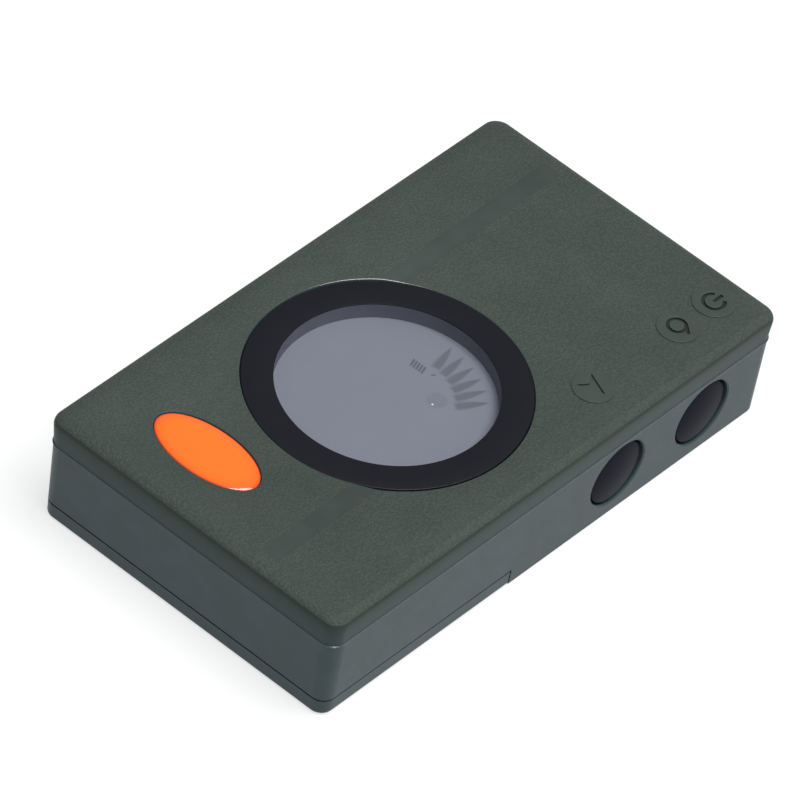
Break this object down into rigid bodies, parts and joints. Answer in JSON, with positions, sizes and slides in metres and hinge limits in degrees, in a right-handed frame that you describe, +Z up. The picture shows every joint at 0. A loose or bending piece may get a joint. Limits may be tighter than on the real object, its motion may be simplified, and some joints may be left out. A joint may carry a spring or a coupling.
{
  "type": "sighting compass",
  "caption": "Flat handheld electronic sighting compass with a round display window, oval badge, side keys and a slide-off battery door.",
  "frame": {"origin": "under the middle of the case, on the surface that its base rests on", "axes": "+Y is the sighting direction, along the case from the battery end to the plain end; +X points to the side with the keys; +Z is up, out of the display"},
  "size_m": [0.0624, 0.1084, 0.0222],
  "materials": {
    "case_plastic": "grey-green moulded plastic, fine leather grain on the top face, satin sides",
    "foam_pad": "closed-cell foam",
    "window_clear": "clear hard-coated disc",
    "mask_print": "black satin print",
    "black_rubber": "soft black rubber",
    "shroud_foam": "soft grey ring with a violet cast",
    "polarizer_film": "grey film with a violet cast",
    "display_glass": "thin display glass",
    "reflector_film": "satin silver film",
    "clear_acrylic": "polished acrylic",
    "led_lens": "yellow-white resin",
    "frame_plastic": "black moulded plastic",
    "elastomer": "pink silicone",
    "board_laminate": "green solder resist",
    "chip_body": "black moulded resin",
    "bright_metal": "bright plated metal",
    "bobbin_plastic": "ivory nylon",
    "copper_wire": "enamelled copper",
    "capacitor_ceramic": "tan ceramic",
    "resistor_body": "black ceramic",
    "key_plastic": "dark satin plastic with a purple cast",
    "badge_resin": "glossy domed orange resin",
    "cell_jacket": "printed metal jacket, plain graphite with a copper-coloured band",
    "plated_steel": "nickel-plated spring steel",
    "black_steel": "black-plated steel"
  },
  "bodies": {
    "case": {"top_shell": "case_plastic", "bottom_shell": "case_plastic", "window_lens": "window_clear", "window_mask": "mask_print", "display_gasket": "shroud_foam", "display_polarizer": "polarizer_film", "display_front_glass": "display_glass", "display_rear_glass": "display_glass", "display_reflector": "reflector_film", "light_guide": "clear_acrylic", "backlight_leds": "led_lens", "display_frame": "frame_plastic", "elastomer_strips": "elastomer", "main_board": "board_laminate", "controller_chip": "chip_body", "clock_crystal": "bright_metal", "sensor_bobbins": "bobbin_plastic", "sensor_windings": "copper_wire", "capacitors": "capacitor_ceramic", "resistors": "resistor_body", "key_board": "board_laminate", "board_header": "frame_plastic", "switch_housings": "chip_body", "badge": "badge_resin", "case_gasket": "black_rubber", "left_cell": "cell_jacket", "right_cell": "cell_jacket", "left_spring": "plated_steel", "right_spring": "plated_steel", "bridge_contact": "plated_steel", "negative_contact": "plated_steel", "positive_contact": "plated_steel", "case_screws": "black_steel", "board_screws": "bright_metal"},
    "door": {"battery_door": "case_plastic", "door_pad": "foam_pad"},
    "bearing_button": {"bearing_key": "key_plastic", "bearing_seal": "black_rubber", "bearing_plunger": "bobbin_plastic"},
    "power_button": {"power_key": "key_plastic", "power_seal": "black_rubber", "power_plunger": "bobbin_plastic"}
  },
  "joints": [
    {"name": "door_slide", "type": "slide", "parent": "case", "child": "door", "axis": [0, -1, 0], "range_m": [0, 0.046]},
    {"name": "bearing_press", "type": "slide", "parent": "case", "child": "bearing_button", "axis": [-1, 0, 0], "range_m": [0, 0.0008], "stiffness_N_per_m": 800},
    {"name": "power_press", "type": "slide", "parent": "case", "child": "power_button", "axis": [-1, 0, 0], "range_m": [0, 0.0008], "stiffness_N_per_m": 800}
  ]
}
